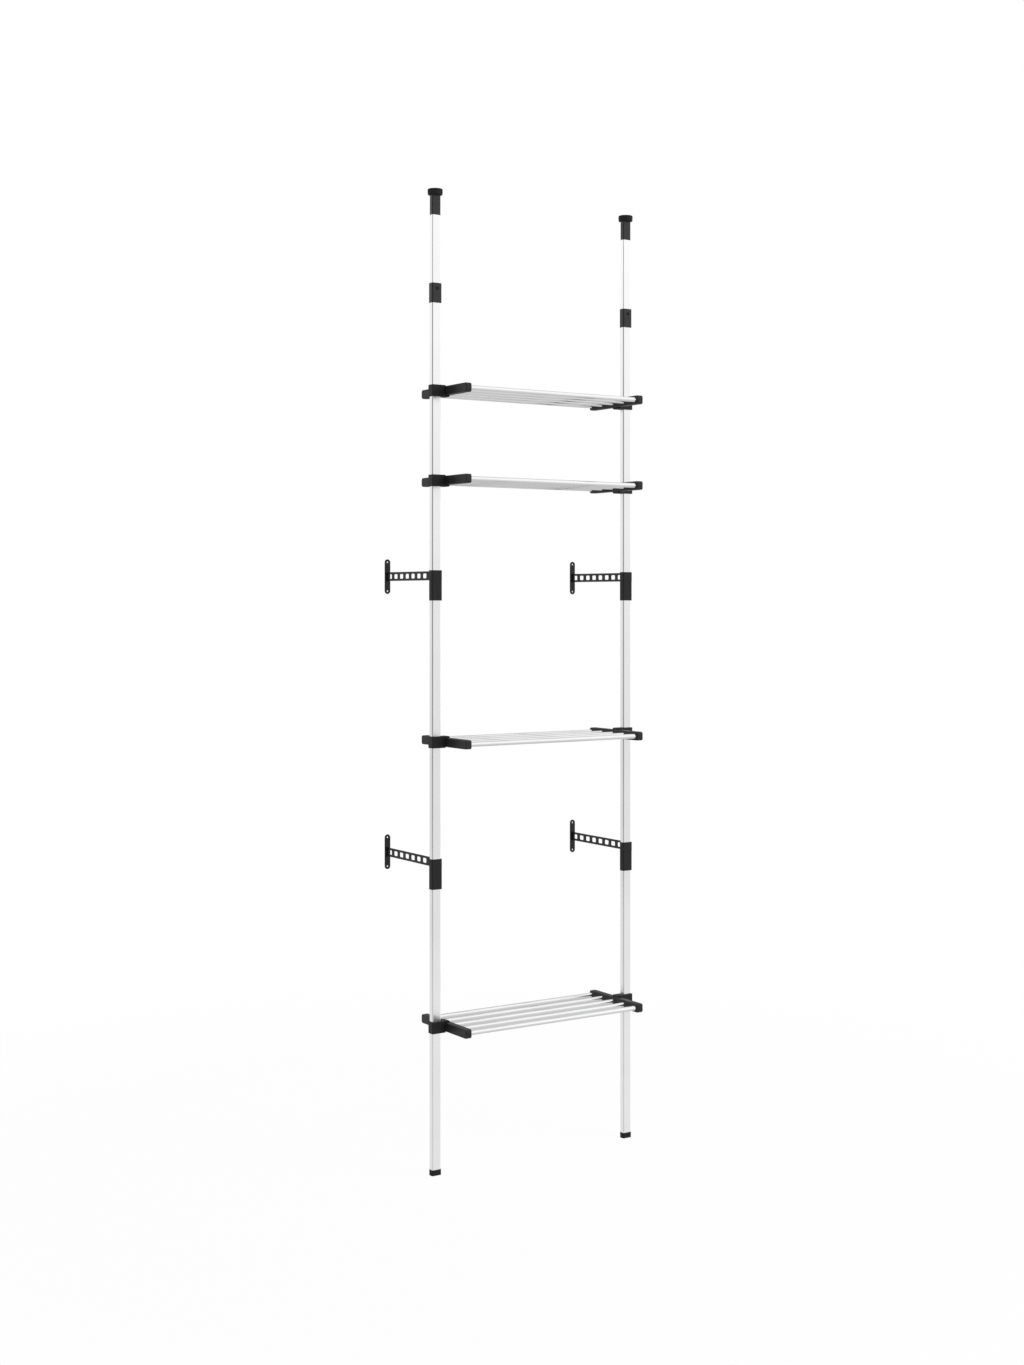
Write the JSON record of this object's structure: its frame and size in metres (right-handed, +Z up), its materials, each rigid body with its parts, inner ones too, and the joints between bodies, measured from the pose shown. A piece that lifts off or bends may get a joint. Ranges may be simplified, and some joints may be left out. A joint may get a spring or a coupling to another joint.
{
  "type": "tension pole shelf unit",
  "caption": "Floor-to-ceiling shelf unit with telescopic tension poles, slatted shelves clamped between them and adjustable perforated wall arms.",
  "frame": {"origin": "floor level, centre of the unit's footprint; both poles stand 84 mm in front of it, the wall plates touch the wall behind it", "axes": "+Z up along the poles, +X to the right along the shelves, +Y back towards the wall, so the front faces -Y"},
  "size_m": [0.6689, 0.396, 2.6],
  "materials": {
    "pole_aluminium": "satin anodised extrusion, drawn lengthways",
    "shelf_aluminium": "satin anodised round tube",
    "black_pole_plastic": "moulded, fine texture, soft sheen",
    "black_shelf_plastic": "moulded, fine texture, soft sheen",
    "black_smooth_plastic": "moulded, smooth, semi-gloss",
    "black_rubber": "matte moulded rubber",
    "black_arm": "black powder coat on punched steel strap",
    "spring_steel": "bright spring wire",
    "dark_steel": "blackened steel"
  },
  "bodies": {
    "poles": {"foot_left": "black_rubber", "foot_right": "black_rubber", "lock_collar_left": "black_smooth_plastic", "lock_collar_right": "black_smooth_plastic", "lower_ring_left": "black_pole_plastic", "lower_ring_right": "black_pole_plastic", "lower_sleeve_left": "black_pole_plastic", "lower_sleeve_right": "black_pole_plastic", "lower_tube_left": "pole_aluminium", "lower_tube_right": "pole_aluminium", "middle_tube_left": "pole_aluminium", "middle_tube_right": "pole_aluminium", "upper_ring_left": "black_pole_plastic", "upper_ring_right": "black_pole_plastic", "upper_sleeve_left": "black_pole_plastic", "upper_sleeve_right": "black_pole_plastic", "upper_tube_left": "pole_aluminium", "upper_tube_right": "pole_aluminium"},
    "plunger_left": {"ceiling_pad_left": "black_rubber", "plunger_left": "black_smooth_plastic"},
    "plunger_right": {"ceiling_pad_right": "black_rubber", "plunger_right": "black_smooth_plastic"},
    "lock_button_left": {"lock_button_left": "black_rubber"},
    "lock_button_right": {"lock_button_right": "black_rubber"},
    "lower_wall_arm_left": {"lower_wall_arm_left": "black_arm"},
    "lower_wall_arm_right": {"lower_wall_arm_right": "black_arm"},
    "top_tube_left": {"plunger_spring_left": "spring_steel", "spring_seat_left": "dark_steel", "top_tube_left": "pole_aluminium"},
    "top_tube_right": {"plunger_spring_right": "spring_steel", "spring_seat_right": "dark_steel", "top_tube_right": "pole_aluminium"},
    "shelf_1": {"shelf_1_bar_left": "black_shelf_plastic", "shelf_1_bar_right": "black_shelf_plastic", "shelf_1_clamp_left": "black_pole_plastic", "shelf_1_clamp_right": "black_pole_plastic", "shelf_1_screws": "dark_steel", "shelf_1_tubes": "shelf_aluminium"},
    "shelf_2": {"shelf_2_bar_left": "black_shelf_plastic", "shelf_2_bar_right": "black_shelf_plastic", "shelf_2_clamp_left": "black_pole_plastic", "shelf_2_clamp_right": "black_pole_plastic", "shelf_2_screws": "dark_steel", "shelf_2_tubes": "shelf_aluminium"},
    "shelf_3": {"shelf_3_bar_left": "black_shelf_plastic", "shelf_3_bar_right": "black_shelf_plastic", "shelf_3_clamp_left": "black_pole_plastic", "shelf_3_clamp_right": "black_pole_plastic", "shelf_3_screws": "dark_steel", "shelf_3_tubes": "shelf_aluminium"},
    "shelf_4": {"shelf_4_bar_left": "black_shelf_plastic", "shelf_4_bar_right": "black_shelf_plastic", "shelf_4_clamp_left": "black_pole_plastic", "shelf_4_clamp_right": "black_pole_plastic", "shelf_4_screws": "dark_steel", "shelf_4_tubes": "shelf_aluminium"},
    "upper_wall_arm_left": {"upper_wall_arm_left": "black_arm"},
    "upper_wall_arm_right": {"upper_wall_arm_right": "black_arm"}
  },
  "joints": [
    {"name": "shelf_1_height", "type": "slide", "parent": "poles", "child": "shelf_1", "axis": [0, 0, 1], "range_m": [-0.09, 0.19]},
    {"name": "shelf_2_height", "type": "slide", "parent": "poles", "child": "shelf_2", "axis": [0, 0, 1], "range_m": [-0.2, 0.095]},
    {"name": "shelf_3_height", "type": "slide", "parent": "poles", "child": "shelf_3", "axis": [0, 0, 1], "range_m": [-0.28, 0.34]},
    {"name": "shelf_4_height", "type": "slide", "parent": "poles", "child": "shelf_4", "axis": [0, 0, 1], "range_m": [-0.35, 0.33]},
    {"name": "top_tube_left_height", "type": "slide", "parent": "poles", "child": "top_tube_left", "axis": [0, 0, 1], "range_m": [-0.143, 0.2]},
    {"name": "plunger_left_press", "type": "slide", "parent": "top_tube_left", "child": "plunger_left", "axis": [0, 0, 1], "range_m": [-0.034, 0], "stiffness_N_per_m": 2000, "deforming": ["plunger_spring_left"]},
    {"name": "lock_button_left_press", "type": "slide", "parent": "poles", "child": "lock_button_left", "axis": [0, 1, 0], "range_m": [0, 0.0015], "stiffness_N_per_m": 400},
    {"name": "lower_wall_arm_left_reach", "type": "slide", "parent": "poles", "child": "lower_wall_arm_left", "axis": [0, 1, 0], "range_m": [-0.12, 0]},
    {"name": "upper_wall_arm_left_reach", "type": "slide", "parent": "poles", "child": "upper_wall_arm_left", "axis": [0, 1, 0], "range_m": [-0.12, 0]},
    {"name": "top_tube_right_height", "type": "slide", "parent": "poles", "child": "top_tube_right", "axis": [0, 0, 1], "range_m": [-0.158, 0.2]},
    {"name": "plunger_right_press", "type": "slide", "parent": "top_tube_right", "child": "plunger_right", "axis": [0, 0, 1], "range_m": [-0.034, 0], "stiffness_N_per_m": 2000, "deforming": ["plunger_spring_right"]},
    {"name": "lock_button_right_press", "type": "slide", "parent": "poles", "child": "lock_button_right", "axis": [0, 1, 0], "range_m": [0, 0.0015], "stiffness_N_per_m": 400},
    {"name": "lower_wall_arm_right_reach", "type": "slide", "parent": "poles", "child": "lower_wall_arm_right", "axis": [0, 1, 0], "range_m": [-0.12, 0]},
    {"name": "upper_wall_arm_right_reach", "type": "slide", "parent": "poles", "child": "upper_wall_arm_right", "axis": [0, 1, 0], "range_m": [-0.12, 0]}
  ]
}
